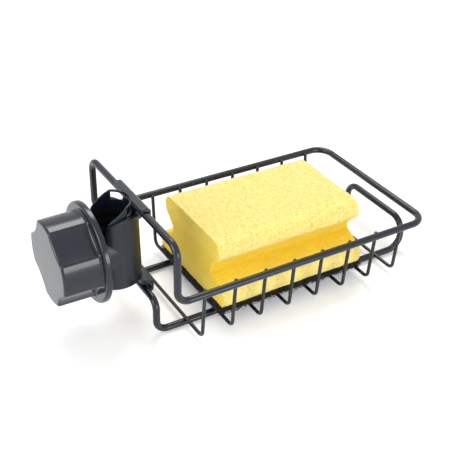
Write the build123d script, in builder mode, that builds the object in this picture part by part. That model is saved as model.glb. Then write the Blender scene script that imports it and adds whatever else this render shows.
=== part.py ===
from build123d import *
import os

os.makedirs("parts", exist_ok=True)

# Sponge holder that clamps on the neck of a kitchen tap.
# The origin is on the axis of the tap's neck, at the height of the knob's axis.
# X runs along the basket, away from the knob, Y runs to the back and Z runs up along the neck.
# All lengths are in millimetres.

# Tap neck and the ribbed lining that grips it
neck_radius = 10.0
grip_clearance = 0.05
liner_thickness = 1.3
liner_fit = 0.05
liner_top_z = 17.0
liner_rib_count = 6
liner_rib_height = 3.6
liner_groove_height = 1.9
liner_groove_depth = 0.6
liner_leg_reach = 4.0

# Upright body: a C-shaped shell open towards the knob
lip_clearance = 0.6
slot_clearance = 0.2
body_wall = 3.0
body_draft_angle = 1.2
body_shift_x = 1.3
body_low_z = -19.3
seat_z = 21.55
crown_axis_x = 3.4
crown_radius = 14.0
crown_rounding = 0.8
foot_rounding = 0.8
mouth_corner_radius = 3.5
mouth_gap = 1.1
rim_wall = 0.9
rim_low_z = 18.8
rim_top_z = 27.0
rim_stop_x = 5.1
rim_corner = 1.2

# Split boss with its thread, on the knob's axis
boss_wall = 4.0
collar_overlap = 0.7
thread_pitch = 4.0
thread_depth = 1.2
thread_crest_width = 1.2
thread_flank_spread = 0.55
thread_step = 0.3
thread_gap = 0.3
thread_sink = 0.4
boss_thread_length = 16.0
boss_end_chamfer = 0.8

# Coated wire
thick_wire_radius = 1.95
thin_wire_radius = 1.0
weld_sink = 0.2

# Rim wire: the hoop at the clamp and the rim of the basket
hoop_neck_gap = 0.45
seat_gap = 0.3
hoop_height = 33.1
rim_half_width = 50.0
hoop_bend = 6.5
rim_start_bend = 7.0
rim_end_bend = 9.5

# Lower frame wire
basket_depth = 34.35
frame_half_width = 26.1
frame_overhang = 5.6
frame_end_rise = 19.1
frame_top_bend = 6.0
frame_start_bend = 6.5
frame_end_bend = 8.5
frame_rail_bend = 8.5

# Cross wires
cross_count = 8
cross_first_gap = 17.1
cross_spacing = 18.25
cross_last_gap = 15.65
cross_lean = 2.35
cross_tip_drop = 1.0
cross_bend = 3.6
cross_tip_rounding = 0.6

# Claw over the hoop, and the hook beside the lower frame
claw_gap = 0.25
claw_thickness = 1.5
claw_half_width = 17.0
claw_front_x = 9.8
claw_low_angle = -32.0
claw_corner = 2.4
claw_rounding = 1.2
claw_front_rounding = 0.6
web_half_width = 8.0
web_low_half_width = 3.5
web_drop = 8.0
web_root_depth = 5.1
hook_half_width = 13.5
hook_thickness = 2.0
hook_inner_radius = 2.1
hook_wire_gap = 1.0
hook_reach = 1.9
hook_lip_angle = -48.0
hook_corner = 2.4

# Knob
knob_stand_off = 1.3
knob_screw_in = 3.2
knob_screw_room = 1.0
knob_collar_room = 0.8
knob_wall = 5.5
knob_ridge_height = 3.5
knob_flute_curve_radius = 24.0
knob_flute_count = 4
knob_first_flute_angle = 130.0
knob_ridge_rounding = 2.0
knob_end_share = 0.985
knob_flange_width = 4.1
knob_flange_thickness = 3.3
knob_flange_rounding = 1.3
knob_back_rounding = 0.5
knob_neck_rounding = 1.4
knob_end_wall = 3.0
knob_end_rounding = 1.4
sleeve_wall = 2.2
pocket_wall = 3.0
pocket_floor = 3.0
post_wall = 2.95
thrust_gap = 0.3

# Pressure plate with its stem, pad and clip
plate_gap = 0.6
plate_side_gap = 1.0
plate_thickness = 3.0
rubber_depth = 2.0
rubber_reach = 5.5
stem_radius = 3.4
stem_fit = 0.05
stem_length = 10.0
stem_chamfer = 0.6
stem_room = 1.2
clip_inset = 2.2
clip_thickness = 1.0
clip_bite = 0.6
clip_grip = 1.0
clip_fit = 0.05
clip_play = 0.1
clip_mouth_width = 4.4

# Sponge
sponge_shift_x = 0.35
sponge_shift_y = -0.8
sponge_gap = 0.3
sponge_length = 92.2
scourer_thickness = 4.4
scourer_half_width = 34.0
scourer_corner = 3.0
foam_height = 38.0
foam_half_width = 35.8
# Outline of one side of the foam from its foot to its top, as shares of its half width and of its height
foam_outline_shares = (
    (0.966, 0.0),
    (1.0, 0.084),
    (1.0, 0.255),
    (0.6, 0.426),
    (0.6, 0.532),
    (0.855, 0.755),
    (0.855, 1.0),
)
# Rounding of the same corners, as shares of the foam's height
foam_rounding_shares = (0.01, 0.05, 0.08, 0.08, 0.08, 0.09, 0.2)
foam_end_rounding = 1.6

# Overrun of cuts past the material
overrun = 5.0

# Radii that follow from the neck
liner_inner_radius = neck_radius + grip_clearance
liner_outer_radius = liner_inner_radius + liner_thickness
recess_radius = liner_outer_radius + liner_fit
lip_radius = neck_radius + lip_clearance
slot_half_width = neck_radius + slot_clearance
body_radius = recess_radius + body_wall
crown_axis_z = seat_z - crown_radius
boss_radius = slot_half_width + boss_wall
thread_crest_radius = boss_radius - thread_step
thread_root_radius = thread_crest_radius - thread_depth

# Places along the knob's axis, from the neck outwards
knob_face_x = -neck_radius - knob_stand_off
mouth_x = knob_face_x + knob_screw_in + mouth_gap
collar_end_x = knob_face_x - collar_overlap
boss_end_x = collar_end_x - boss_thread_length
knob_thread_x = collar_end_x - knob_screw_in - knob_collar_room
knob_floor_x = boss_end_x - knob_screw_in - knob_screw_room
knob_end_x = knob_floor_x - knob_end_wall
plate_face_x = -neck_radius - rubber_depth
plate_back_x = plate_face_x - plate_thickness
post_face_x = plate_back_x - thrust_gap
stem_end_x = plate_back_x - stem_length
clip_x = stem_end_x + clip_inset

# Knob radii, from the thread outwards
knob_crest_radius = thread_root_radius + thread_gap
knob_root_radius = thread_crest_radius + thread_gap
knob_entry_radius = boss_radius + thread_gap
knob_flute_radius = knob_root_radius + knob_wall
knob_ridge_radius = knob_flute_radius + knob_ridge_height
knob_flange_radius = knob_ridge_radius + knob_flange_width

knob_flute_axis_radius = knob_flute_radius + knob_flute_curve_radius

# Plate, stem and clip radii
plate_radius = knob_crest_radius - plate_gap
plate_half_width = slot_half_width - plate_side_gap
post_bore_radius = stem_radius + stem_fit
post_radius = post_bore_radius + post_wall
clip_inner_radius = stem_radius - clip_bite
clip_outer_radius = stem_radius + clip_grip

# Wire places
hoop_x = neck_radius + hoop_neck_gap + thick_wire_radius
hoop_z = seat_z + seat_gap + thick_wire_radius
rim_z = hoop_z - hoop_height
basket_length = cross_first_gap + (cross_count - 1) * cross_spacing + cross_last_gap
rim_end_x = hoop_x + basket_length
frame_z = rim_z - basket_depth
frame_start_z = body_low_z - hook_thickness - hook_wire_gap - thick_wire_radius
frame_end_x = rim_end_x + frame_overhang
frame_end_z = frame_z + frame_end_rise
cross_top_y = rim_half_width - thick_wire_radius - thin_wire_radius + weld_sink
cross_low_y = cross_top_y - cross_lean
cross_tip_z = rim_z + thick_wire_radius - cross_tip_drop
cross_low_z = frame_z + thick_wire_radius + thin_wire_radius - weld_sink

# Claw and hook places
claw_inner_radius = thick_wire_radius + claw_gap
claw_outer_radius = claw_inner_radius + claw_thickness
hook_outer_radius = hook_inner_radius + hook_thickness
hook_axis_x = hoop_x + hook_reach
hook_axis_z = body_low_z - hook_outer_radius
hook_root_x = lip_radius

# Liner places
liner_pitch = liner_rib_height + liner_groove_height
liner_height = liner_rib_count * liner_pitch - liner_groove_height
liner_low_z = liner_top_z - liner_height

# Sponge places
sponge_x = hoop_x + basket_length / 2 + sponge_shift_x
scourer_low_z = cross_low_z + thin_wire_radius + sponge_gap
foam_low_z = scourer_low_z + scourer_thickness


def thread_ridge(start_x, length, radius, side):
    """Right-hand thread ridge about X, sunk in its wall: side is 1 on a shaft and -1 in a bore."""
    slope = thread_flank_spread / thread_depth
    half_crest = thread_crest_width / 2
    half_root = half_crest + thread_flank_spread + thread_sink * slope
    with BuildPart() as ridge:
        with BuildLine():
            turns = Helix(thread_pitch, length, radius, center=(start_x, 0, 0), direction=(1, 0, 0))
        start = turns @ 0
        outward = Vector(0, start.Y, start.Z).normalized()
        with BuildSketch(Plane(origin=start, x_dir=outward, z_dir=outward.cross(Vector(1, 0, 0)))):
            with BuildLine():
                Polyline(
                    (-side * thread_sink, -half_root),
                    (side * thread_depth, -half_crest),
                    (side * thread_depth, half_crest),
                    (-side * thread_sink, half_root),
                    close=True,
                )
            make_face()
        sweep(is_frenet=True)
    return ridge


def wire_loop(points, bends, radius):
    """Closed loop of wire from one half, which starts and ends on the plane of symmetry."""
    with BuildPart() as loop:
        with BuildLine():
            route = FilletPolyline(*points, radius=bends)
        with BuildSketch(Plane(origin=route @ 0, z_dir=route % 0)):
            Circle(radius)
        sweep()
        mirror(about=Plane.XZ)
    return loop


# Clamp body

# The upright, with an arched top and a mouth towards the knob
with BuildPart() as upright:
    with BuildSketch(Plane.XY.offset(body_low_z)):
        with Locations((body_shift_x, 0)):
            Circle(body_radius)
    extrude(amount=seat_z - body_low_z + overrun, taper=body_draft_angle)
    fillet(upright.faces().sort_by(Axis.Z)[0].edges(), foot_rounding)
    with BuildSketch(Plane.XZ) as arch:
        with Locations((crown_axis_x, crown_axis_z)):
            Circle(crown_radius)
        with Locations((crown_axis_x, body_low_z)):
            Rectangle(2 * crown_radius, crown_axis_z - body_low_z, align=(Align.CENTER, Align.MIN))
        with Locations((mouth_x, body_low_z)):
            Rectangle(
                crown_axis_x + crown_radius - mouth_x,
                seat_z - body_low_z,
                align=(Align.MIN, Align.MIN),
                mode=Mode.INTERSECT,
            )
        fillet(arch.vertices().group_by(Axis.X)[0].sort_by(Axis.Y)[-1], mouth_corner_radius)
    extrude(amount=body_radius + overrun, both=True, mode=Mode.INTERSECT)
    arched_faces = upright.faces().filter_by(GeomType.CYLINDER)
    fillet(arched_faces.edges().filter_by(Axis.Y, reverse=True), crown_rounding)

# The thin rim round the bore, which rises on both sides and runs over the hoop's way to the claw
with BuildPart() as bore_rim:
    with BuildSketch(Plane.XY):
        Circle(lip_radius + rim_wall)
    extrude(amount=rim_top_z)
    with BuildSketch(Plane.XZ) as rim_profile:
        with BuildLine():
            Polyline(
                (mouth_x, 0),
                (mouth_x, rim_low_z),
                (rim_stop_x, rim_top_z),
                (lip_radius + rim_wall, rim_top_z),
                (lip_radius + rim_wall, hoop_z + claw_inner_radius),
                (rim_stop_x, hoop_z + claw_inner_radius),
                (rim_stop_x, seat_z),
                (lip_radius + rim_wall, seat_z),
                (lip_radius + rim_wall, 0),
                close=True,
            )
        make_face()
        fillet(rim_profile.vertices().group_by(Axis.Y)[-1].sort_by(Axis.X)[0], rim_corner)
    extrude(amount=lip_radius + rim_wall, both=True, mode=Mode.INTERSECT)

# The thread of the boss starts outside its end, where it is cut off
boss_thread = thread_ridge(
    boss_end_x - thread_pitch / 2,
    boss_thread_length + thread_pitch,
    thread_root_radius,
    1,
)

# The thread of the knob lies half a pitch from it and ends in the knob's entry, where it is cut off
knob_thread = thread_ridge(
    boss_end_x - thread_pitch,
    knob_thread_x - boss_end_x + thread_pitch + thread_pitch / 2,
    knob_root_radius,
    -1,
)

# The claw that holds the hoop, with its web down to the seat
claw_arc = CenterArc(
    (hoop_x, hoop_z),
    claw_inner_radius + claw_thickness / 2,
    claw_low_angle,
    90 - claw_low_angle,
)
claw_top_z = hoop_z + claw_outer_radius
with BuildPart() as claw:
    with BuildSketch(Plane.XZ) as claw_profile:
        SlotArc(claw_arc, claw_thickness)
        with Locations((claw_front_x, claw_top_z)):
            Rectangle(hoop_x - claw_front_x, claw_thickness, align=(Align.MIN, Align.MAX))
        fillet(claw_profile.vertices().group_by(Axis.X)[0], claw_front_rounding)
    extrude(amount=claw_half_width, both=True)
    with BuildSketch(Plane.XY.offset(seat_z)):
        with Locations((claw_front_x, 0)):
            RectangleRounded(
                hoop_x + claw_outer_radius - claw_front_x,
                2 * claw_half_width,
                claw_corner,
                align=(Align.MIN, Align.CENTER),
            )
    extrude(amount=2 * claw_outer_radius + overrun, mode=Mode.INTERSECT)
    with BuildSketch(Plane.YZ.offset(claw_front_x)):
        with Locations((0, claw_top_z)):
            RectangleRounded(
                2 * claw_half_width,
                4 * claw_outer_radius,
                claw_rounding,
                align=(Align.CENTER, Align.MAX),
            )
    extrude(amount=hoop_x + claw_outer_radius - claw_front_x, mode=Mode.INTERSECT)

with BuildPart() as web:
    with BuildSketch(Plane.XZ):
        with BuildLine():
            Polyline(
                (hoop_x + claw_outer_radius, hoop_z),
                (hoop_x + claw_inner_radius, hoop_z),
                (hoop_x + claw_inner_radius, seat_z),
                (hoop_x + claw_outer_radius - web_root_depth, seat_z),
                (hoop_x + claw_outer_radius - web_root_depth, seat_z - web_drop),
                (hoop_x + claw_outer_radius, seat_z - web_drop),
                close=True,
            )
        make_face()
    extrude(amount=web_half_width, both=True)
    with BuildSketch(Plane.YZ.offset(hoop_x + claw_outer_radius - web_root_depth)):
        with BuildLine():
            Polyline(
                (-web_half_width, hoop_z),
                (web_half_width, hoop_z),
                (web_half_width, seat_z),
                (web_low_half_width, seat_z - web_drop),
                (-web_low_half_width, seat_z - web_drop),
                (-web_half_width, seat_z),
                close=True,
            )
        make_face()
    extrude(amount=web_root_depth, mode=Mode.INTERSECT)

# The hook beside the lower frame wire: a plate under the foot that curls down
hook_arc = CenterArc(
    (hook_axis_x, hook_axis_z),
    hook_inner_radius + hook_thickness / 2,
    hook_lip_angle,
    90 - hook_lip_angle,
)
with BuildPart() as hook:
    with BuildSketch(Plane.XZ):
        SlotArc(hook_arc, hook_thickness)
        with Locations((hook_root_x, body_low_z)):
            Rectangle(hook_axis_x - hook_root_x, hook_thickness, align=(Align.MIN, Align.MAX))
        with Locations((hook_root_x, body_low_z)):
            Rectangle(body_wall, foot_rounding, align=(Align.MIN, Align.MIN))
    extrude(amount=hook_half_width, both=True)
    with BuildSketch(Plane.XY.offset(hook_axis_z - hook_outer_radius)):
        with Locations((hook_root_x, 0)):
            RectangleRounded(
                hook_axis_x + hook_outer_radius - hook_root_x,
                2 * hook_half_width,
                hook_corner,
                align=(Align.MIN, Align.CENTER),
            )
    extrude(amount=2 * hook_outer_radius + overrun, mode=Mode.INTERSECT)

with BuildPart() as clamp_body:
    add(upright.part)
    with BuildSketch(Plane.YZ.offset(boss_end_x)):
        Circle(thread_root_radius)
    extrude(amount=-boss_end_x)
    chamfer(clamp_body.faces().sort_by(Axis.X)[0].edges(), boss_end_chamfer)
    add(boss_thread.part)
    with BuildSketch(Plane.YZ.offset(collar_end_x)):
        Circle(boss_radius)
    extrude(amount=body_shift_x - collar_end_x)
    with BuildSketch(Plane.YZ.offset(boss_end_x)):
        Circle(body_radius + overrun)
    extrude(amount=-thread_pitch - overrun, mode=Mode.SUBTRACT)
    add(bore_rim.part)
    add(claw.part)
    add(web.part)
    add(hook.part)
    with BuildSketch(Plane.XY.offset(hook_axis_z)):
        Circle(lip_radius)
        Rectangle(-boss_end_x + overrun, 2 * slot_half_width, align=(Align.MAX, Align.CENTER))
    extrude(amount=claw_top_z - hook_axis_z + overrun, mode=Mode.SUBTRACT)
    with BuildSketch(Plane.XY.offset(liner_low_z - liner_fit)) as recess:
        Circle(recess_radius)
        Rectangle(recess_radius, 2 * recess_radius, align=(Align.MAX, Align.CENTER))
        with Locations((-liner_leg_reach - liner_fit, 0)):
            Rectangle(
                recess_radius,
                2 * recess_radius,
                align=(Align.MAX, Align.CENTER),
                mode=Mode.SUBTRACT,
            )
    extrude(amount=liner_height + 2 * liner_fit, mode=Mode.SUBTRACT)
clamp_body.part.label = "clamp_body"
export_step(clamp_body.part, "parts/clamp_body.step")

# Ribbed liner of the bore: a rubber shell with straight legs, grooved all round
with BuildPart() as grip_liner:
    with BuildSketch(Plane.XY.offset(liner_low_z)):
        Circle(liner_outer_radius)
        Rectangle(liner_outer_radius, 2 * liner_outer_radius, align=(Align.MAX, Align.CENTER))
        Circle(liner_inner_radius, mode=Mode.SUBTRACT)
        Rectangle(
            liner_outer_radius,
            2 * liner_inner_radius,
            align=(Align.MAX, Align.CENTER),
            mode=Mode.SUBTRACT,
        )
        with Locations((-liner_leg_reach, 0)):
            Rectangle(
                liner_outer_radius,
                2 * liner_outer_radius,
                align=(Align.MAX, Align.CENTER),
                mode=Mode.SUBTRACT,
            )
    extrude(amount=liner_height)
    for groove in range(liner_rib_count - 1):
        with BuildSketch(Plane.XY.offset(liner_low_z + liner_rib_height + groove * liner_pitch)):
            Circle(liner_inner_radius + liner_groove_depth)
            Rectangle(
                liner_outer_radius,
                2 * (liner_inner_radius + liner_groove_depth),
                align=(Align.MAX, Align.CENTER),
            )
        extrude(amount=liner_groove_height, mode=Mode.SUBTRACT)
grip_liner.part.label = "grip_liner"
export_step(grip_liner.part, "parts/grip_liner.step")

# Knob
with BuildPart() as knob:
    for station_x, share in ((knob_face_x, 1), (knob_end_x, knob_end_share)):
        with BuildSketch(Plane.YZ.offset(station_x)) as outline:
            Circle(share * knob_ridge_radius)
            flute_axis_radius = share * knob_flute_axis_radius
            with PolarLocations(flute_axis_radius, knob_flute_count, knob_first_flute_angle):
                Circle(share * knob_flute_curve_radius, mode=Mode.SUBTRACT)
            fillet(outline.vertices(), share * knob_ridge_rounding)
    loft(ruled=True)
    fillet(knob.faces().sort_by(Axis.X)[0].edges(), knob_end_rounding)
    with BuildSketch(Plane.YZ.offset(knob_face_x)):
        Circle(knob_flange_radius)
    extrude(amount=-knob_flange_thickness)
    flange_face = knob.faces().filter_by(Plane.YZ).sort_by(Axis.X)[1]
    fillet(flange_face.inner_wires().edges(), knob_neck_rounding)
    round_edges = knob.edges().filter_by(GeomType.CIRCLE)
    flange_rims = round_edges.filter_by(lambda edge: edge.radius == knob_flange_radius)
    fillet(flange_rims.sort_by(Axis.X)[0], knob_flange_rounding)
    fillet(knob.faces().sort_by(Axis.X)[-1].outer_wire().edges(), knob_back_rounding)
    with BuildSketch(Plane.YZ.offset(knob_floor_x)):
        Circle(knob_root_radius)
    extrude(amount=knob_face_x - knob_floor_x, mode=Mode.SUBTRACT)
    add(knob_thread.part)
    with BuildSketch(Plane.YZ.offset(knob_thread_x)):
        Circle(knob_entry_radius)
    extrude(amount=knob_face_x - knob_thread_x + overrun, mode=Mode.SUBTRACT)
    with BuildSketch(Plane.YZ.offset(knob_floor_x)):
        Circle(post_radius)
    extrude(amount=post_face_x - knob_floor_x)
    with BuildSketch(Plane.YZ.offset(post_face_x)):
        Circle(post_bore_radius)
    extrude(amount=stem_end_x - stem_room - post_face_x, mode=Mode.SUBTRACT)
    with BuildSketch(Plane.YZ.offset(clip_x - clip_thickness / 2 - clip_play)):
        Circle(clip_outer_radius + clip_fit)
    extrude(amount=clip_thickness + 2 * clip_play, mode=Mode.SUBTRACT)
    with BuildSketch(Plane.YZ.offset(knob_face_x)) as pockets:
        Circle(knob_end_share * knob_ridge_radius - pocket_wall)
        flute_axis_radius = knob_end_share * knob_flute_axis_radius
        with PolarLocations(flute_axis_radius, knob_flute_count, knob_first_flute_angle):
            Circle(knob_end_share * knob_flute_curve_radius + pocket_wall, mode=Mode.SUBTRACT)
        Circle(knob_entry_radius + sleeve_wall, mode=Mode.SUBTRACT)
    extrude(amount=knob_floor_x + pocket_floor - knob_face_x, mode=Mode.SUBTRACT)
knob.part.label = "knob"
export_step(knob.part, "parts/knob.step")

# Pressure plate: a disc with flat sides between the halves of the boss, on a stem held in the knob
with BuildPart() as pressure_plate:
    with BuildSketch(Plane.YZ.offset(plate_back_x)):
        Circle(plate_radius)
        Rectangle(2 * plate_half_width, 2 * plate_radius, mode=Mode.INTERSECT)
    extrude(amount=plate_thickness)
    with BuildSketch(Plane.YZ.offset(plate_back_x)):
        Circle(stem_radius)
    extrude(amount=-stem_length)
    chamfer(pressure_plate.faces().sort_by(Axis.X)[0].edges(), stem_chamfer)
    with BuildSketch(Plane.YZ.offset(clip_x - clip_thickness / 2)):
        Circle(stem_radius + clip_fit)
        Circle(clip_inner_radius - clip_fit, mode=Mode.SUBTRACT)
    extrude(amount=clip_thickness, mode=Mode.SUBTRACT)
pressure_plate.part.label = "pressure_plate"
export_step(pressure_plate.part, "parts/pressure_plate.step")

# Pressure pad: rubber on the plate, hollowed to the neck
with BuildPart() as pressure_pad:
    with BuildSketch(Plane.YZ.offset(plate_face_x)):
        Circle(plate_radius)
        Rectangle(2 * plate_half_width, 2 * plate_radius, mode=Mode.INTERSECT)
    extrude(amount=rubber_reach)
    with BuildSketch(Plane.XY.offset(-plate_radius)):
        Circle(liner_inner_radius)
    extrude(amount=2 * plate_radius, mode=Mode.SUBTRACT)
pressure_pad.part.label = "pressure_pad"
export_step(pressure_pad.part, "parts/pressure_pad.step")

# Clip: a split ring in the groove of the stem, which turns in a groove of the knob's post
with BuildPart() as swivel_clip:
    with BuildSketch(Plane.YZ.offset(clip_x - clip_thickness / 2)):
        Circle(clip_outer_radius)
        Circle(clip_inner_radius, mode=Mode.SUBTRACT)
        Rectangle(
            clip_mouth_width,
            clip_outer_radius,
            align=(Align.CENTER, Align.MIN),
            mode=Mode.SUBTRACT,
        )
    extrude(amount=clip_thickness)
swivel_clip.part.label = "swivel_clip"
export_step(swivel_clip.part, "parts/swivel_clip.step")

# Rim wire: up to the hoop at the clamp, along the sides and round the far end
rim_wire = wire_loop(
    [
        (hoop_x, 0, hoop_z),
        (hoop_x, -rim_half_width, hoop_z),
        (hoop_x, -rim_half_width, rim_z),
        (rim_end_x, -rim_half_width, rim_z),
        (rim_end_x, 0, rim_z),
    ],
    [hoop_bend, rim_start_bend, rim_end_bend],
    thick_wire_radius,
)
rim_wire.part.label = "rim_wire"
export_step(rim_wire.part, "parts/rim_wire.step")

# Lower frame wire: from the hook, down and along under the cross wires, and up to the end rail
lower_frame_wire = wire_loop(
    [
        (hoop_x, 0, frame_start_z),
        (hoop_x, -frame_half_width, frame_start_z),
        (hoop_x, -frame_half_width, frame_z),
        (frame_end_x, -frame_half_width, frame_z),
        (frame_end_x, -frame_half_width, frame_end_z),
        (frame_end_x, 0, frame_end_z),
    ],
    [frame_top_bend, frame_start_bend, frame_end_bend, frame_rail_bend],
    thick_wire_radius,
)
lower_frame_wire.part.label = "lower_frame_wire"
export_step(lower_frame_wire.part, "parts/lower_frame_wire.step")

# Cross wires: each hangs inside the rim and lies on the lower frame
cross_slope = cross_lean / (rim_z - cross_low_z)
cross_tip_y = cross_top_y + cross_slope * (cross_tip_z - rim_z)
for number in range(cross_count):
    cross_x = hoop_x + cross_first_gap + number * cross_spacing
    cross_loop = wire_loop(
        [
            (cross_x, 0, cross_low_z),
            (cross_x, -cross_low_y, cross_low_z),
            (cross_x, -cross_tip_y, cross_tip_z),
        ],
        [cross_bend],
        thin_wire_radius,
    )
    with BuildPart() as cross_wire:
        add(cross_loop.part)
        fillet(cross_wire.faces().filter_by(GeomType.PLANE).edges(), cross_tip_rounding)
    cross_wire.part.label = f"cross_wire_{number + 1}"
    export_step(cross_wire.part, f"parts/cross_wire_{number + 1}.step")

# Sponge foam: a block with a grip groove along each side
foam_corners = [(foam_half_width * wide, foam_height * high) for wide, high in foam_outline_shares]
foam_mirrored = [(-wide, high) for wide, high in reversed(foam_corners)]
foam_bends = [foam_height * share for share in foam_rounding_shares]
foam_start = (sponge_x - sponge_length / 2, sponge_shift_y, foam_low_z)
with BuildPart() as sponge_foam:
    with BuildSketch(Plane(foam_start, x_dir=(0, 1, 0), z_dir=(1, 0, 0))):
        with BuildLine():
            FilletPolyline(
                *foam_corners,
                *foam_mirrored,
                radius=foam_bends + foam_bends[::-1],
                close=True,
            )
        make_face()
    extrude(amount=sponge_length)
    fillet(sponge_foam.faces().filter_by(Axis.X).edges(), foam_end_rounding)
sponge_foam.part.label = "sponge_foam"
export_step(sponge_foam.part, "parts/sponge_foam.step")

# Scouring pad under the foam
with BuildPart() as scouring_pad:
    with BuildSketch(Plane.XY.offset(scourer_low_z)):
        with Locations((sponge_x, sponge_shift_y)):
            RectangleRounded(sponge_length, 2 * scourer_half_width, scourer_corner)
    extrude(amount=scourer_thickness)
scouring_pad.part.label = "scouring_pad"
export_step(scouring_pad.part, "parts/scouring_pad.step")
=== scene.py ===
"""Looks of a sponge holder that clamps on a tap: coated wire, moulded clamp and knob, foam and scouring pad.

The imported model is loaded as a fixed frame. Its hard pieces keep their shapes and get their finishes here.
The foam and the scouring pad are modelled here, in the places that the frame holds for them. Lengths are in
metres.
"""

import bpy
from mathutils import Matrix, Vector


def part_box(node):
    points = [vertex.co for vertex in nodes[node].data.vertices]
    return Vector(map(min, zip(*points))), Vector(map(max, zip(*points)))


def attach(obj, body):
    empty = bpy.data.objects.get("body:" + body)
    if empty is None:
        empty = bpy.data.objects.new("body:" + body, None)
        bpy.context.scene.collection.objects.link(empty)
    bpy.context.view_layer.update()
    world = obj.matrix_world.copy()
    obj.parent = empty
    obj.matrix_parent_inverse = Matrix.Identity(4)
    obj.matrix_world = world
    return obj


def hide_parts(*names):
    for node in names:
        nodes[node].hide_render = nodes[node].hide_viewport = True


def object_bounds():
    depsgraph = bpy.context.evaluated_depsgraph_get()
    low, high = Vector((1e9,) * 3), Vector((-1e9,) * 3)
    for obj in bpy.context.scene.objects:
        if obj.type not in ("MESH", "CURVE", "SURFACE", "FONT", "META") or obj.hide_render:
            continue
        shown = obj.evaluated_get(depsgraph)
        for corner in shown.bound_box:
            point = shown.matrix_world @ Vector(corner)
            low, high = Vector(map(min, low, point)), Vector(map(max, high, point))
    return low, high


bl_info = {
    "name": "Sponge Holder Looks",
    "version": (1, 0, 0),
    "blender": (4, 5, 0),
    "location": "View3D > Sidebar > Sponge Holder",
    "description": "Finishes of a wire sponge holder, its grip sponge and the studio around them",
    "category": "Object",
}

import math
import random

import bmesh
import bpy
from bpy.props import FloatProperty, FloatVectorProperty, IntProperty, PointerProperty
from mathutils import Euler, Matrix, Vector, noise

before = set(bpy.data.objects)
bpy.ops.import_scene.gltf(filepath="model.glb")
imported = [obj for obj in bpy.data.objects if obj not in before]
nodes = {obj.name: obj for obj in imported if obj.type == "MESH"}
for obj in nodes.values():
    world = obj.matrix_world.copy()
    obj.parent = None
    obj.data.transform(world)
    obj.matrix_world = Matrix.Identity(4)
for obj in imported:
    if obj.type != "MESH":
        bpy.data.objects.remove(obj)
cad_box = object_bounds()

CROSS_WIRES = [name for name in sorted(nodes) if name.startswith("cross_wire_")]
THICK_WIRES = ["rim_wire", "lower_frame_wire"]
MM = 0.001
SAME_PLACE = 0.01 * MM
SENSOR_WIDTH = 36.0

# How much paler the handling marks are than the plastic that they lie on
MARK_GAIN = 1.25
MARK_LIFT = 0.002

# Walls between the pores, as a share of the pores' spacing, and the depth of the shallowest pores
PORE_SLOPE = 0.55
SHALLOWEST = 0.35
PORE_LOTTERY = 7.0


# Properties

class WireFinish(bpy.types.PropertyGroup):
    """Coating of the wires."""

    colour: FloatVectorProperty(
        name="Coat colour", description="Colour of the wire's coating",
        subtype="COLOR", size=3, min=0, max=1, default=(0.004, 0.007, 0.014),
    )
    roughness: FloatProperty(
        name="Roughness", description="Roughness of the coating",
        min=0, max=1, default=0.22, subtype="FACTOR",
    )
    ripple_size: FloatProperty(
        name="Ripple size", description="Width of the faint ripples in the coating",
        unit="LENGTH", min=0.0001, max=0.01, default=0.0011,
    )
    ripple_height: FloatProperty(
        name="Ripple height", description="Height of the ripples in the coating",
        unit="LENGTH", min=0, max=0.001, default=0.00003,
    )


class PlasticFinish(bpy.types.PropertyGroup):
    """Moulded plastic of the clamp and the knob, and the rubber and steel inside them."""

    colour: FloatVectorProperty(
        name="Plastic colour", description="Colour of the clamp and the knob",
        subtype="COLOR", size=3, min=0, max=1, default=(0.005, 0.009, 0.017),
    )
    knob_roughness: FloatProperty(
        name="Knob roughness", description="Roughness of the knob",
        min=0, max=1, default=0.16, subtype="FACTOR",
    )
    clamp_roughness: FloatProperty(
        name="Clamp roughness", description="Roughness of the clamp's body",
        min=0, max=1, default=0.3, subtype="FACTOR",
    )
    grain_size: FloatProperty(
        name="Grain size", description="Width of the grain left by the mould",
        unit="LENGTH", min=0.00005, max=0.01, default=0.0005,
    )
    rubber_colour: FloatVectorProperty(
        name="Rubber colour", description="Colour of the liner and the pressure pad",
        subtype="COLOR", size=3, min=0, max=1, default=(0.003, 0.003, 0.004),
    )
    steel_colour: FloatVectorProperty(
        name="Steel colour", description="Colour of the clip on the stem",
        subtype="COLOR", size=3, min=0, max=1, default=(0.55, 0.55, 0.56),
    )


class FoamShape(bpy.types.PropertyGroup):
    """Foam block of the sponge."""

    wall_colour: FloatVectorProperty(
        name="Wall colour", description="Colour of the foam's cell walls",
        subtype="COLOR", size=3, min=0, max=1, default=(0.97, 0.88, 0.36),
    )
    # Painted shade in the depth of the pores: a deeper, more saturated colour than the walls
    pore_shade_colour: FloatVectorProperty(
        name="Pore colour", description="Colour in the depth of the pores",
        subtype="COLOR", size=3, min=0, max=1, default=(0.95, 0.6, 0.03),
    )
    # Painted shade at the ends and in the grooves: a deeper, more saturated colour than the top
    painted_shade_colour: FloatVectorProperty(
        name="Deep colour", description="Colour of the open foam at the ends and in the grooves",
        subtype="COLOR", size=3, min=0, max=1, default=(1.0, 0.68, 0.025),
    )
    mesh_size: FloatProperty(
        name="Mesh size", description="Width of the faces that the block is divided into",
        unit="LENGTH", min=0.0002, max=0.005, default=0.0005,
    )
    pore_size: FloatProperty(
        name="Pore size", description="Distance between the large pores",
        unit="LENGTH", min=0.0005, max=0.01, default=0.0014,
    )
    pore_depth: FloatProperty(
        name="Pore depth", description="Depth of the large pores",
        unit="LENGTH", min=0, max=0.003, default=0.0003,
    )
    sag: FloatProperty(
        name="Unevenness", description="Slow waves of the cut faces",
        unit="LENGTH", min=0, max=0.003, default=0.00035,
    )


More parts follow.
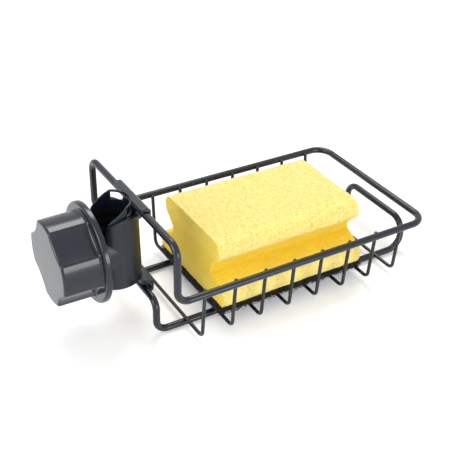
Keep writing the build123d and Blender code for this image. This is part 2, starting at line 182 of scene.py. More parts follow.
class ScourerShape(bpy.types.PropertyGroup):
    """Scouring pad under the foam."""

    colour: FloatVectorProperty(
        name="Fibre colour", description="Colour of the pad's fibres",
        subtype="COLOR", size=3, min=0, max=1, default=(0.02, 0.021, 0.024),
    )
    mesh_size: FloatProperty(
        name="Mesh size", description="Width of the faces that the pad is divided into",
        unit="LENGTH", min=0.0002, max=0.005, default=0.0007,
    )
    ragged: FloatProperty(
        name="Raggedness", description="How far the cut edge wanders",
        unit="LENGTH", min=0, max=0.004, default=0.0012,
    )
    edge_fibres: IntProperty(
        name="Edge fibres", description="Number of loose fibres round the edge",
        min=0, max=6000, default=2600,
    )
    face_fibres: IntProperty(
        name="Face fibres", description="Number of loose fibres on the underside",
        min=0, max=6000, default=900,
    )
    fibre_radius: FloatProperty(
        name="Fibre radius", description="Radius of a loose fibre",
        unit="LENGTH", min=0.00002, max=0.001, default=0.00015,
    )


class StageSetup(bpy.types.PropertyGroup):
    """Camera, lights and floor."""

    focal_length: FloatProperty(
        name="Focal length", description="Lens, in millimetres on a sensor 36 mm wide",
        min=10, max=300, default=69.09,
    )
    azimuth: FloatProperty(
        name="Azimuth", description="Turn of the camera about the upright",
        subtype="ANGLE", default=math.radians(-31.959),
    )
    elevation: FloatProperty(
        name="Elevation", description="Angle at which the camera looks down",
        subtype="ANGLE", default=math.radians(33.205),
    )
    roll: FloatProperty(
        name="Roll", description="Tilt of the camera about its line of sight",
        subtype="ANGLE", default=math.radians(1.81),
    )
    place: FloatVectorProperty(
        name="Place", description="Where the camera stands",
        subtype="TRANSLATION", size=3, default=(-0.14827, -0.35393, 0.25965),
    )
    floor_colour: FloatVectorProperty(
        name="Floor colour", description="Colour of the floor",
        subtype="COLOR", size=3, min=0, max=1, default=(0.93, 0.93, 0.93),
    )
    ambient: FloatProperty(
        name="Ambient light", description="Strength of the light from all round",
        min=0, max=3, default=0.6,
    )


# Number tools

def ramp(value, start, width):
    """Rises from 0 at start to 1 a width further on, and stays between them."""
    return min(1.0, max(0.0, (value - start) / width))


def layered_noise(place, layers):
    """Sum of slow and quick waves at a place. Each layer has its width and its share."""
    return sum(share * noise.noise(place / width) for width, share in layers)


# Material tools

def new_material(name):
    """Empty node material with its output and a Principled shader, both returned with the tree."""
    material = bpy.data.materials.new(name)
    material.use_nodes = True
    tree = material.node_tree
    tree.nodes.clear()
    output = tree.nodes.new("ShaderNodeOutputMaterial")
    shader = tree.nodes.new("ShaderNodeBsdfPrincipled")
    tree.links.new(shader.outputs["BSDF"], output.inputs["Surface"])
    return material, tree, shader


def add_node(tree, kind, **settings):
    """Adds a node. A setting that names an input sets its value, and any other one sets a property."""
    node = tree.nodes.new(kind)
    for key, value in settings.items():
        socket = node.inputs.get(key.replace("_", " "))
        if socket is not None:
            socket.default_value = value
        else:
            setattr(node, key, value)
    return node


def object_vector(tree):
    """Output with the place on the piece, in metres."""
    return tree.nodes.new("ShaderNodeTexCoord").outputs["Object"]


def group_node(tree, group, vector, **values):
    """Places a shared group in a material and feeds it a vector and its own values."""
    node = add_node(tree, "ShaderNodeGroup", node_tree=group)
    tree.links.new(vector, node.inputs["Vector"])
    for key, value in values.items():
        node.inputs[key.replace("_", " ")].default_value = value
    return node


def bump_node(tree, shader, height, distance, **settings):
    """Feeds a height over the surface to the shader as a bump."""
    bump = add_node(tree, "ShaderNodeBump", Strength=1.0, Distance=distance, **settings)
    tree.links.new(height, bump.inputs["Height"])
    tree.links.new(bump.outputs["Normal"], shader.inputs["Normal"])


def new_group(name, inputs, outputs):
    """Shader node group with named sockets."""
    group = bpy.data.node_groups.new(name, "ShaderNodeTree")
    for label, kind, value in inputs:
        socket = group.interface.new_socket(label, in_out="INPUT", socket_type=kind)
        if value is not None:
            socket.default_value = value
    for label, kind in outputs:
        group.interface.new_socket(label, in_out="OUTPUT", socket_type=kind)
    start = group.nodes.new("NodeGroupInput")
    end = group.nodes.new("NodeGroupOutput")
    return group, start, end


def skin_group():
    """Grain and ripples of a moulded or dipped skin, as a height, and its handling marks, as a roughness."""
    found = bpy.data.node_groups.get("Moulded skin")
    if found:
        return found
    group, start, end = new_group(
        "Moulded skin",
        [
            ("Vector", "NodeSocketVector", None),
            ("Grain per metre", "NodeSocketFloat", 2000.0),
            ("Grain share", "NodeSocketFloat", 0.5),
            ("Ripple per metre", "NodeSocketFloat", 300.0),
            ("Marks per metre", "NodeSocketFloat", 60.0),
            ("Roughness", "NodeSocketFloat", 0.3),
            ("Marks", "NodeSocketFloat", 0.06),
        ],
        [
            ("Height", "NodeSocketFloat"),
            ("Roughness", "NodeSocketFloat"),
            ("Marks mask", "NodeSocketFloat"),
        ],
    )
    links = group.links
    grain = add_node(group, "ShaderNodeTexNoise", Detail=2.0, Roughness=0.6)
    links.new(start.outputs["Vector"], grain.inputs["Vector"])
    links.new(start.outputs["Grain per metre"], grain.inputs["Scale"])
    ripple = add_node(group, "ShaderNodeTexNoise", Detail=1.0, Roughness=0.4)
    links.new(start.outputs["Vector"], ripple.inputs["Vector"])
    links.new(start.outputs["Ripple per metre"], ripple.inputs["Scale"])
    height = add_node(group, "ShaderNodeMix", data_type="FLOAT")
    links.new(start.outputs["Grain share"], height.inputs["Factor"])
    links.new(ripple.outputs["Fac"], height.inputs["A"])
    links.new(grain.outputs["Fac"], height.inputs["B"])
    links.new(height.outputs["Result"], end.inputs["Height"])
    marks = add_node(group, "ShaderNodeTexNoise", Detail=5.0, Roughness=0.65, Distortion=0.6)
    links.new(start.outputs["Vector"], marks.inputs["Vector"])
    links.new(start.outputs["Marks per metre"], marks.inputs["Scale"])
    spread = add_node(group, "ShaderNodeMapRange", From_Min=0.35, From_Max=0.68, To_Min=0.0, To_Max=1.0)
    links.new(marks.outputs["Fac"], spread.inputs["Value"])
    amount = add_node(group, "ShaderNodeMath", operation="MULTIPLY_ADD")
    links.new(spread.outputs["Result"], amount.inputs[0])
    links.new(start.outputs["Marks"], amount.inputs[1])
    links.new(start.outputs["Roughness"], amount.inputs[2])
    links.new(amount.outputs["Value"], end.inputs["Roughness"])
    links.new(spread.outputs["Result"], end.inputs["Marks mask"])
    return group


def skin_material(
    name, colour, roughness, marks, grain_size, grain_share, ripple_size, height, specular=0.5,
):
    """Moulded plastic, rubber or a dipped coating. Height is that of its grain and ripples."""
    material, tree, shader = new_material(name)
    skin = group_node(
        tree, skin_group(), object_vector(tree),
        Grain_per_metre=1 / grain_size, Grain_share=grain_share, Ripple_per_metre=1 / ripple_size,
        Roughness=roughness, Marks=marks,
    )
    tint = add_node(tree, "ShaderNodeMix", data_type="RGBA")
    tree.links.new(skin.outputs["Marks mask"], tint.inputs["Factor"])
    tint.inputs["A"].default_value = (*colour, 1)
    marked = [min(1, MARK_GAIN * channel + MARK_LIFT) for channel in colour]
    tint.inputs["B"].default_value = (*marked, 1)
    tree.links.new(tint.outputs["Result"], shader.inputs["Base Color"])
    tree.links.new(skin.outputs["Roughness"], shader.inputs["Roughness"])
    bump_node(tree, shader, skin.outputs["Height"], height)
    shader.inputs["Specular IOR Level"].default_value = specular
    return material


def finish_node(name, material):
    """Gives a carried-over piece its material."""
    mesh = nodes[name].data
    mesh.materials.clear()
    mesh.materials.append(material)


# Mesh tools

def voxel_mesh(bm, name, voxel):
    """Even mesh over the closed shape in a bmesh, which is freed."""
    rough = bpy.data.meshes.new(name + " rough")
    bm.to_mesh(rough)
    bm.free()
    worker = bpy.data.objects.new(name + " rough", rough)
    bpy.context.scene.collection.objects.link(worker)
    remesh = worker.modifiers.new("Remesh", "REMESH")
    remesh.mode = "VOXEL"
    remesh.voxel_size = voxel
    remesh.use_smooth_shade = True
    graph = bpy.context.evaluated_depsgraph_get()
    mesh = bpy.data.meshes.new_from_object(worker.evaluated_get(graph))
    mesh.name = name
    bpy.data.objects.remove(worker)
    bpy.data.meshes.remove(rough)
    return mesh


def round_edges(bm, edges, radius, segments):
    """Rounds some edges of a bmesh."""
    bmesh.ops.bevel(
        bm, geom=edges, offset=radius, offset_type="OFFSET", affect="EDGES",
        segments=segments, profile=0.5, material=-1, clamp_overlap=True,
    )


def move_points(mesh, places):
    """Moves all the points of a mesh to new places."""
    for vertex, place in zip(mesh.vertices, places):
        vertex.co = place
    mesh.update()


def new_piece(mesh, name, body):
    """Object for a finished mesh, riding on a body."""
    piece = bpy.data.objects.new(name, mesh)
    bpy.context.scene.collection.objects.link(piece)
    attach(piece, body)
    return piece


def cell_depth(place, spacing):
    """How deep a place lies in a pore: 0 on the walls between the pores and 1 in their middle."""
    distances, centres = noise.voronoi(place / spacing)
    amount = ramp(distances[1] - distances[0], 0.0, PORE_SLOPE)
    lottery = noise.cell(centres[0] * PORE_LOTTERY)
    return amount * amount * (3 - 2 * amount) * (SHALLOWEST + (1 - SHALLOWEST) * abs(lottery))


# Pieces

class SPONGE_HOLDER_OT_wires(bpy.types.Operator):
    """Coats the rim, the lower frame and the cross wires"""

    bl_idname = "sponge_holder.wires"
    bl_label = "Coat the wires"

    def execute(self, context):
        wire = context.scene.sponge_holder_wire
        coat = skin_material(
            "Dipped wire coat", wire.colour, wire.roughness, marks=0.08, grain_size=0.0004,
            grain_share=0.25, ripple_size=wire.ripple_size, height=wire.ripple_height,
        )
        for name in THICK_WIRES + CROSS_WIRES:
            finish_node(name, coat)
        return {"FINISHED"}


class SPONGE_HOLDER_OT_clamp(bpy.types.Operator):
    """Finishes the clamp's body, its liner and the plate, pad and clip inside"""

    bl_idname = "sponge_holder.clamp"
    bl_label = "Finish the clamp"

    def execute(self, context):
        plastic = context.scene.sponge_holder_plastic
        body = skin_material(
            "Moulded clamp plastic", plastic.colour, plastic.clamp_roughness, marks=0.08,
            grain_size=plastic.grain_size, grain_share=0.6, ripple_size=0.004, height=0.00002, specular=0.45,
        )
        rubber = skin_material(
            "Moulded rubber", plastic.rubber_colour, roughness=0.62, marks=0.12,
            grain_size=0.0003, grain_share=0.7, ripple_size=0.003, height=0.00004, specular=0.2,
        )
        finish_node("clamp_body", body)
        finish_node("pressure_plate", body)
        finish_node("grip_liner", rubber)
        finish_node("pressure_pad", rubber)
        steel, tree, shader = new_material("Spring steel")
        skin = group_node(
            tree, skin_group(), object_vector(tree),
            Grain_per_metre=6000.0, Grain_share=0.8, Roughness=0.28, Marks=0.12,
        )
        shader.inputs["Base Color"].default_value = (*plastic.steel_colour, 1)
        shader.inputs["Metallic"].default_value = 1.0
        tree.links.new(skin.outputs["Roughness"], shader.inputs["Roughness"])
        finish_node("swivel_clip", steel)
        return {"FINISHED"}


class SPONGE_HOLDER_OT_knob(bpy.types.Operator):
    """Finishes the knob"""

    bl_idname = "sponge_holder.knob"
    bl_label = "Finish the knob"

    def execute(self, context):
        plastic = context.scene.sponge_holder_plastic
        gloss = skin_material(
            "Moulded knob plastic", plastic.colour, plastic.knob_roughness, marks=0.05,
            grain_size=plastic.grain_size, grain_share=0.4, ripple_size=0.006, height=0.00001,
        )
        finish_node("knob", gloss)
        return {"FINISHED"}


class SPONGE_HOLDER_OT_foam(bpy.types.Operator):
    """Models the foam block of the sponge with its grip grooves and pores"""

    bl_idname = "sponge_holder.foam"
    bl_label = "Model the foam"

    # One side of the block from foot to top, as shares of half its width and of its height, with the rounding
    OUTLINE = (
        (0.966, 0.0, 0.01),
        (1.0, 0.084, 0.05),
        (1.0, 0.255, 0.08),
        (0.6, 0.426, 0.08),
        (0.6, 0.532, 0.08),
        (0.855, 0.755, 0.09),
        (0.855, 1.0, 0.2),
    )
    END_ROUNDING = 0.0032

    # Slow waves of the faces, each with its width and share, and the quick unevenness of the cut
    WAVES = ((0.022, 1.0), (0.009, 0.5))
    FUZZ_SIZE = 0.0011
    FUZZ_HEIGHT = 0.00012

    # Where each ramp of the painted shade starts and how wide it is: across, up, and for faces that look
    # endways
    GROOVE_ACROSS = (0.97, -0.2)
    GROOVE_TOP = (0.78, -0.12)
    GROOVE_FOOT = (0.2, 0.08)
    END_FACING = (0.3, 0.6)
    END_SHARE = 0.75

    # How strongly the painted shade takes its colours, in the large pores and at the ends and in the grooves
    PORE_SHADE_TINT = 0.62
    PAINTED_SHADE_TINT = 0.8

    def block(self):
        """Closed block with rounded corners, in the place of its solid."""
        low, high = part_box("sponge_foam")
        height = high.z - low.z
        middle = (low.y + high.y) / 2
        half_width = (high.y - low.y) / 2
        one_side = [(half_width * wide, low.z + height * up) for wide, up, rounding in self.OUTLINE]
        ring = [(middle + y, z) for y, z in one_side] + [(middle - y, z) for y, z in reversed(one_side)]
        roundings = [height * rounding for wide, up, rounding in self.OUTLINE]
        roundings += roundings[::-1]
        bm = bmesh.new()
        start = bm.faces.new([bm.verts.new((low.x, y, z)) for y, z in ring])
        sides = bmesh.ops.extrude_face_region(bm, geom=[start], use_keep_orig=True)["geom"]
        moved = [item for item in sides if isinstance(item, bmesh.types.BMVert)]
        bmesh.ops.translate(bm, verts=moved, vec=(high.x - low.x, 0, 0))
        bmesh.ops.recalc_face_normals(bm, faces=bm.faces)
        for (y, z), rounding in zip(ring, roundings):
            corner = [
                edge for edge in bm.edges
                if all(abs(v.co.y - y) + abs(v.co.z - z) < SAME_PLACE for v in edge.verts)
            ]
            round_edges(bm, corner, rounding, segments=6)
        rims = [
            edge for edge in bm.edges
            if any(all(abs(v.co.x - end) < SAME_PLACE for v in edge.verts) for end in (low.x, high.x))
        ]
        round_edges(bm, rims, self.END_ROUNDING, segments=4)
        return bm

    def material(self, foam):
        material, tree, shader = new_material("Open pored foam")
        links = tree.links
        vector = object_vector(tree)
        # Small cells: their middles get painted shade in the pore colour, and they also give the bump
        cells = add_node(
            tree, "ShaderNodeTexVoronoi", feature="DISTANCE_TO_EDGE", Scale=950.0, Randomness=1.0,
        )
        links.new(vector, cells.inputs["Vector"])
        small = add_node(tree, "ShaderNodeMapRange", From_Min=0.0, From_Max=0.32, To_Min=0.0, To_Max=1.0)
        links.new(cells.outputs["Distance"], small.inputs["Value"])
        cloud = add_node(tree, "ShaderNodeTexNoise", Scale=420.0, Detail=3.0, Roughness=0.6)
        links.new(vector, cloud.inputs["Vector"])
        patch = add_node(tree, "ShaderNodeMapRange", From_Min=0.35, From_Max=0.7, To_Min=0.3, To_Max=0.85)
        links.new(cloud.outputs["Fac"], patch.inputs["Value"])
        fine = add_node(tree, "ShaderNodeMath", operation="MULTIPLY")
        links.new(small.outputs["Result"], fine.inputs[0])
        links.new(patch.outputs["Result"], fine.inputs[1])
        # Painted shade in the pores: the depth of the large pores, together with the middles of the small
        # cells, takes the colour over to the pore colour
        pore = add_node(tree, "ShaderNodeAttribute", attribute_name="pore")
        depth = add_node(tree, "ShaderNodeMath", operation="MULTIPLY_ADD", use_clamp=True)
        links.new(pore.outputs["Fac"], depth.inputs[0])
        depth.inputs[1].default_value = self.PORE_SHADE_TINT
        links.new(fine.outputs["Value"], depth.inputs[2])
        tint = add_node(tree, "ShaderNodeMix", data_type="RGBA")
        links.new(depth.outputs["Value"], tint.inputs["Factor"])
        tint.inputs["A"].default_value = (*foam.wall_colour, 1)
        tint.inputs["B"].default_value = (*foam.pore_shade_colour, 1)
        # Painted shade at the ends and in the grooves: where the "deep" attribute is high, the colour goes
        # over to the painted shade colour, and more so on the small cells
        deep = add_node(tree, "ShaderNodeAttribute", attribute_name="deep")
        cut = add_node(tree, "ShaderNodeMix", data_type="RGBA")
        shade = add_node(tree, "ShaderNodeMath", operation="MULTIPLY_ADD", use_clamp=True)
        links.new(deep.outputs["Fac"], shade.inputs[0])
        shade.inputs[1].default_value = self.PAINTED_SHADE_TINT
        speck = add_node(tree, "ShaderNodeMath", operation="MULTIPLY")
        links.new(deep.outputs["Fac"], speck.inputs[0])
        links.new(fine.outputs["Value"], speck.inputs[1])
        links.new(speck.outputs["Value"], shade.inputs[2])
        links.new(shade.outputs["Value"], cut.inputs["Factor"])
        links.new(tint.outputs["Result"], cut.inputs["A"])
        cut.inputs["B"].default_value = (*foam.painted_shade_colour, 1)
        links.new(cut.outputs["Result"], shader.inputs["Base Color"])
        bump_node(tree, shader, fine.outputs["Value"], 0.00022, invert=True)
        shader.inputs["Roughness"].default_value = 0.75
        shader.inputs["Specular IOR Level"].default_value = 0.3
        shader.inputs["Subsurface Weight"].default_value = 0.2
        shader.inputs["Subsurface Radius"].default_value = (1.0, 0.5, 0.1)
        shader.inputs["Subsurface Scale"].default_value = 0.004
        shader.inputs["Sheen Weight"].default_value = 0.15
        return material

    def painted_shade_amount(self, place, normal, low, high):
        """How much painted shade a place gets: 0 on the top and the foot, 1 deep in a groove, and up to
        END_SHARE on the ends.
        """
        level = (place.z - low.z) / (high.z - low.z)
        reach = abs(2 * (place.y - low.y) / (high.y - low.y) - 1)
        groove = ramp(reach, *self.GROOVE_ACROSS) * ramp(level, *self.GROOVE_TOP)
        groove *= ramp(level, *self.GROOVE_FOOT)
        return max(groove, self.END_SHARE * ramp(abs(normal.x), *self.END_FACING))

    def execute(self, context):
        foam = context.scene.sponge_holder_foam
        low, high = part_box("sponge_foam")
        mesh = voxel_mesh(self.block(), "grip_foam", foam.mesh_size)
        # The "pore" attribute holds the depth of the large pores, which dents them and sets their painted
        # shade
        pore = mesh.attributes.new("pore", "FLOAT", "POINT")
        # The "deep" attribute holds the painted shade of the ends and the grooves
        deep = mesh.attributes.new("deep", "FLOAT", "POINT")
        moves = []
        for index, vertex in enumerate(mesh.vertices):
            place = vertex.co
            depth = cell_depth(place, foam.pore_size)
            wave = layered_noise(place, self.WAVES)
            fuzz = noise.noise(place / self.FUZZ_SIZE)
            pore.data[index].value = depth
            deep.data[index].value = self.painted_shade_amount(place, vertex.normal, low, high)
            amount = foam.sag * wave + self.FUZZ_HEIGHT * fuzz - foam.pore_depth * depth
            moves.append(place + vertex.normal * amount)
        move_points(mesh, moves)
        piece = new_piece(mesh, "grip_foam", "sponge")
        mesh.materials.append(self.material(foam))
        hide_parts("sponge_foam")
        return {"FINISHED"}


class SPONGE_HOLDER_OT_scourer(bpy.types.Operator):
    """Models the scouring pad with its ragged edge and loose fibres"""

    bl_idname = "sponge_holder.scourer"
    bl_label = "Model the scouring pad"

    CORNER = 0.003

    # Clumps of fibre, each layer with its width and share, and their height on the flat faces
    CLUMPS = ((0.0031, 1.0), (0.0012, 0.7))
    FACE_CLUMP_HEIGHT = 0.00016

    # Loose fibres: how many shapes, the runs of each, its length, its bend and how much the bend changes
    SEED = 11
    TEMPLATES = 10
    STEPS = 5
    LENGTH = (0.0028, 0.0075)
    BEND = (-0.3, 0.3)
    BEND_CHANGE = (0.3, 1.2)

    # Where they lie: how far from the edges, how far out of the surface, and their slopes
    EDGE_MARGIN = 0.0002
    EDGE_DEPTH = (-0.0006, 0.0004)
    EDGE_SLOPE = (-0.5, 0.5)
    EDGE_LIFT = (-0.1, 0.55)
    FACE_MARGIN = 0.001
    FACE_DEPTH = (-0.00002, 0.0001)
    FACE_LIFT = (-0.02, 0.02)

    def slab(self):
        """Closed slab with rounded corners, in the place of its solid."""
        low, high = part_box("scouring_pad")
        bm = bmesh.new()
        made = bmesh.ops.create_cube(bm, size=1.0)
        bmesh.ops.scale(bm, vec=high - low, verts=made["verts"])
        bmesh.ops.translate(bm, vec=(low + high) / 2, verts=made["verts"])
        upright = [edge for edge in bm.edges if abs(edge.verts[0].co.z - edge.verts[1].co.z) > MM]
        round_edges(bm, upright, self.CORNER, segments=5)
        return bm

    def strand(self, draw, radius):
        """Mesh of one bent fibre, its length along X and its middle at the origin."""
        length = draw.uniform(*self.LENGTH)
        bm = bmesh.new()
        made = bmesh.ops.create_circle(bm, cap_ends=True, segments=3, radius=radius)
        turn = Matrix.Rotation(math.radians(90), 3, "Y")
        bmesh.ops.rotate(bm, verts=made["verts"], matrix=turn, cent=(0, 0, 0))
        tip = bm.faces[:]
        bend = Vector((0, draw.uniform(*self.BEND), draw.uniform(*self.BEND)))
        heading = Vector((1, 0, 0))
        reach = Vector((0, 0, 0))
        for step in range(self.STEPS):
            heading = (heading + bend * draw.uniform(*self.BEND_CHANGE)).normalized()
            grown = bmesh.ops.extrude_face_region(bm, geom=tip)["geom"]
            if step:
                bmesh.ops.delete(bm, geom=tip, context="FACES_ONLY")
            tip = [item for item in grown if isinstance(item, bmesh.types.BMFace)]
            ends = [item for item in grown if isinstance(item, bmesh.types.BMVert)]
            run = heading * length / self.STEPS
            bmesh.ops.translate(bm, verts=ends, vec=run)
            reach += run
        bmesh.ops.translate(bm, verts=bm.verts, vec=-reach / 2)
        bmesh.ops.recalc_face_normals(bm, faces=bm.faces)
        mesh = bpy.data.meshes.new("strand")
        bm.to_mesh(mesh)
        bm.free()
        return mesh

    def place_strand(self, bm, mesh, place, across, outward, lift):
        """Copies a fibre to a place on the surface, lying across it and lifted a little at one end."""
        count = len(bm.verts)
        bm.from_mesh(mesh)
        bm.verts.ensure_lookup_table()
        across = (across + outward * lift).normalized()
        side = outward.cross(across).normalized()
        turn = Matrix((across, side, across.cross(side))).transposed().to_4x4()
        bmesh.ops.transform(bm, matrix=Matrix.Translation(place) @ turn, verts=bm.verts[count:])

    def material(self, pad):
        material, tree, shader = new_material("Scouring fibre")
        links = tree.links
        vector = object_vector(tree)
        web = add_node(tree, "ShaderNodeTexNoise", Scale=900.0, Detail=4.0, Roughness=0.7, Distortion=2.2)
        links.new(vector, web.inputs["Vector"])
        spread = add_node(tree, "ShaderNodeMapRange", From_Min=0.38, From_Max=0.66, To_Min=0.0, To_Max=1.0)
        links.new(web.outputs["Fac"], spread.inputs["Value"])
        tint = add_node(tree, "ShaderNodeMix", data_type="RGBA")
        links.new(spread.outputs["Result"], tint.inputs["Factor"])
        tint.inputs["A"].default_value = (*[0.35 * channel for channel in pad.colour], 1)
        tint.inputs["B"].default_value = (*[1.6 * channel for channel in pad.colour], 1)
        links.new(tint.outputs["Result"], shader.inputs["Base Color"])
        bump_node(tree, shader, spread.outputs["Result"], 0.0004)
        shader.inputs["Roughness"].default_value = 0.6
        return material

    def execute(self, context):
        pad = context.scene.sponge_holder_scourer
        low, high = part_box("scouring_pad")
        mesh = voxel_mesh(self.slab(), "scourer", pad.mesh_size)
        moves = []
        for vertex in mesh.vertices:
            place = vertex.co
            flat = abs(vertex.normal.z)
            clump = layered_noise(place, self.CLUMPS)
            amount = (1 - flat) * pad.ragged * clump + flat * self.FACE_CLUMP_HEIGHT * clump
            moves.append(place + vertex.normal * amount)
        move_points(mesh, moves)
        draw = random.Random(self.SEED)
        strands = [self.strand(draw, pad.fibre_radius) for number in range(self.TEMPLATES)]
        bm = bmesh.new()
        bm.from_mesh(mesh)
        size = high - low
        for number in range(pad.edge_fibres):
            along = draw.random() * 2 * (size.x + size.y)
            z = draw.uniform(low.z + self.EDGE_MARGIN, high.z - self.EDGE_MARGIN)
            if along < 2 * size.x:
                x = low.x + along % size.x
                outward = Vector((0, -1 if along < size.x else 1, 0))
                y = low.y if along < size.x else high.y
            else:
                y = low.y + (along - 2 * size.x) % size.y
                outward = Vector((-1 if along - 2 * size.x < size.y else 1, 0, 0))
                x = low.x if outward.x < 0 else high.x
            across = outward.cross(Vector((0, 0, 1)))
            across = across * draw.choice((-1, 1)) + Vector((0, 0, draw.uniform(*self.EDGE_SLOPE)))
            place = Vector((x, y, z)) + outward * draw.uniform(*self.EDGE_DEPTH)
            strand = draw.choice(strands)
            self.place_strand(bm, strand, place, across.normalized(), outward, draw.uniform(*self.EDGE_LIFT))
        for number in range(pad.face_fibres):
            turn = draw.uniform(0, 2 * math.pi)
            across = Vector((math.cos(turn), math.sin(turn), 0))
            place = Vector((
                draw.uniform(low.x + self.FACE_MARGIN, high.x - self.FACE_MARGIN),
                draw.uniform(low.y + self.FACE_MARGIN, high.y - self.FACE_MARGIN),
                low.z + draw.uniform(*self.FACE_DEPTH),
            ))
            strand = draw.choice(strands)
            self.place_strand(bm, strand, place, across, Vector((0, 0, -1)), draw.uniform(*self.FACE_LIFT))
        bm.to_mesh(mesh)
        bm.free()
        for strand in strands:
            bpy.data.meshes.remove(strand)
        piece = new_piece(mesh, "scourer", "sponge")
        mesh.materials.append(self.material(pad))
        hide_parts("scouring_pad")
        return {"FINISHED"}


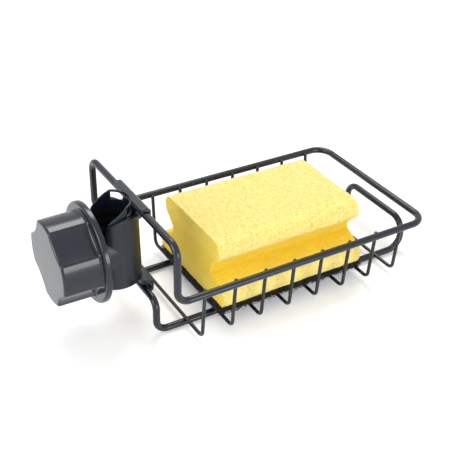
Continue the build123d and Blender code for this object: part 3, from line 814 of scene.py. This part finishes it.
class SPONGE_HOLDER_OT_stage(bpy.types.Operator):
    """Sets the camera, the lights, the floor and the surroundings"""

    bl_idname = "sponge_holder.stage"
    bl_label = "Set the stage"

    # Name, place, aim, width and length in metres, and power in watts
    LAMPS = (
        ("top softbox", (0.19, 0.4, 0.7), (0.03, 0.0, 0.0), 0.5, 0.3, 3.3),
        ("front softbox", (0.19, -0.85, 0.16), (0.03, 0.0, 0.0), 0.6, 0.3, 3.4),
        ("left softbox", (-0.75, -0.05, 0.3), (0.0, 0.0, 0.0), 0.5, 0.4, 3.4),
    )
    CLIP_START = 0.01
    CLIP_END = 20.0

    # Half the floor's side, its gap under the lowest wire, and how much it glows for the camera
    FLOOR_SIZE = 4.0
    FLOOR_GAP = 0.0002
    FLOOR_GLOW = 0.25

    def camera(self, stage):
        data = bpy.data.cameras.new("Camera")
        data.sensor_width = SENSOR_WIDTH
        data.sensor_fit = "HORIZONTAL"
        data.lens = stage.focal_length
        data.clip_start = self.CLIP_START
        data.clip_end = self.CLIP_END
        camera = bpy.data.objects.new("Camera", data)
        turn = Euler((math.pi / 2 - stage.elevation, 0, stage.azimuth)).to_matrix()
        turn = turn @ Matrix.Rotation(stage.roll, 3, "Z")
        camera.matrix_world = Matrix.Translation(stage.place) @ turn.to_4x4()
        bpy.context.scene.collection.objects.link(camera)
        bpy.context.scene.camera = camera

    def lamp(self, name, place, aim, width, length, power):
        data = bpy.data.lights.new(name, "AREA")
        data.shape = "RECTANGLE"
        data.size = width
        data.size_y = length
        data.energy = power
        lamp = bpy.data.objects.new(name, data)
        lamp.location = place
        lamp.rotation_euler = (Vector(place) - Vector(aim)).to_track_quat("Z", "Y").to_euler()
        bpy.context.scene.collection.objects.link(lamp)

    def seen_directly(self, tree):
        """Output that is 1 for what the camera sees, directly or through gloss and glass."""
        path = tree.nodes.new("ShaderNodeLightPath")
        first = add_node(tree, "ShaderNodeMath", operation="MAXIMUM")
        tree.links.new(path.outputs["Is Camera Ray"], first.inputs[0])
        tree.links.new(path.outputs["Is Glossy Ray"], first.inputs[1])
        both = add_node(tree, "ShaderNodeMath", operation="MAXIMUM")
        tree.links.new(first.outputs["Value"], both.inputs[0])
        tree.links.new(path.outputs["Is Transmission Ray"], both.inputs[1])
        return both.outputs["Value"]

    def world(self, stage):
        world = bpy.data.worlds.new("Studio")
        world.use_nodes = True
        tree = world.node_tree
        tree.nodes.clear()
        output = tree.nodes.new("ShaderNodeOutputWorld")
        light = add_node(tree, "ShaderNodeBackground", Color=(1, 1, 1, 1), Strength=stage.ambient)
        seen = add_node(tree, "ShaderNodeBackground", Color=(1, 1, 1, 1), Strength=1.0)
        mix = tree.nodes.new("ShaderNodeMixShader")
        tree.links.new(self.seen_directly(tree), mix.inputs[0])
        tree.links.new(light.outputs["Background"], mix.inputs[1])
        tree.links.new(seen.outputs["Background"], mix.inputs[2])
        tree.links.new(mix.outputs["Shader"], output.inputs["Surface"])
        bpy.context.scene.world = world

    def floor(self, stage):
        bm = bmesh.new()
        made = bmesh.ops.create_grid(bm, x_segments=1, y_segments=1, size=self.FLOOR_SIZE)
        level = cad_box[0][2]
        bmesh.ops.translate(bm, verts=made["verts"], vec=(0, 0, level - self.FLOOR_GAP))
        mesh = bpy.data.meshes.new("floor")
        bm.to_mesh(mesh)
        bm.free()
        floor = bpy.data.objects.new("floor", mesh)
        bpy.context.scene.collection.objects.link(floor)
        material, tree, shader = new_material("Pale floor")
        shader.inputs["Base Color"].default_value = (*stage.floor_colour, 1)
        shader.inputs["Roughness"].default_value = 0.9
        shader.inputs["Specular IOR Level"].default_value = 0.1
        shader.inputs["Emission Color"].default_value = (1, 1, 1, 1)
        tree.links.new(self.camera_glow(tree), shader.inputs["Emission Strength"])
        mesh.materials.append(material)

    def camera_glow(self, tree):
        """Small glow of the floor for the camera, which takes its grey up to white."""
        glow = add_node(tree, "ShaderNodeMath", operation="MULTIPLY")
        tree.links.new(self.seen_directly(tree), glow.inputs[0])
        glow.inputs[1].default_value = self.FLOOR_GLOW
        return glow.outputs["Value"]

    def execute(self, context):
        stage = context.scene.sponge_holder_stage
        self.camera(stage)
        for lamp in self.LAMPS:
            self.lamp(*lamp)
        self.world(stage)
        self.floor(stage)
        context.scene.view_settings.view_transform = "Standard"
        return {"FINISHED"}


class SPONGE_HOLDER_PT_looks(bpy.types.Panel):
    """Lists the pieces and their settings"""

    bl_label = "Sponge Holder"
    bl_idname = "SPONGE_HOLDER_PT_looks"
    bl_space_type = "VIEW_3D"
    bl_region_type = "UI"
    bl_category = "Sponge Holder"

    def draw(self, context):
        for operator, settings in STEPS:
            box = self.layout.box()
            box.operator(operator.bl_idname)
            group = getattr(context.scene, settings)
            for name in group.__annotations__:
                box.prop(group, name)


SETTINGS = {
    "sponge_holder_wire": WireFinish,
    "sponge_holder_plastic": PlasticFinish,
    "sponge_holder_foam": FoamShape,
    "sponge_holder_scourer": ScourerShape,
    "sponge_holder_stage": StageSetup,
}
STEPS = (
    (SPONGE_HOLDER_OT_wires, "sponge_holder_wire"),
    (SPONGE_HOLDER_OT_clamp, "sponge_holder_plastic"),
    (SPONGE_HOLDER_OT_knob, "sponge_holder_plastic"),
    (SPONGE_HOLDER_OT_foam, "sponge_holder_foam"),
    (SPONGE_HOLDER_OT_scourer, "sponge_holder_scourer"),
    (SPONGE_HOLDER_OT_stage, "sponge_holder_stage"),
)
CLASSES = [*SETTINGS.values(), *[operator for operator, settings in STEPS], SPONGE_HOLDER_PT_looks]


def register():
    for cls in CLASSES:
        bpy.utils.register_class(cls)
    for name, cls in SETTINGS.items():
        setattr(bpy.types.Scene, name, PointerProperty(type=cls))


def unregister():
    for name in SETTINGS:
        delattr(bpy.types.Scene, name)
    for cls in reversed(CLASSES):
        bpy.utils.unregister_class(cls)


def main():
    register()
    bpy.ops.sponge_holder.wires()
    bpy.ops.sponge_holder.clamp()
    bpy.ops.sponge_holder.knob()
    bpy.ops.sponge_holder.foam()
    bpy.ops.sponge_holder.scourer()
    bpy.ops.sponge_holder.stage()


if __name__ == "__main__":
    main()
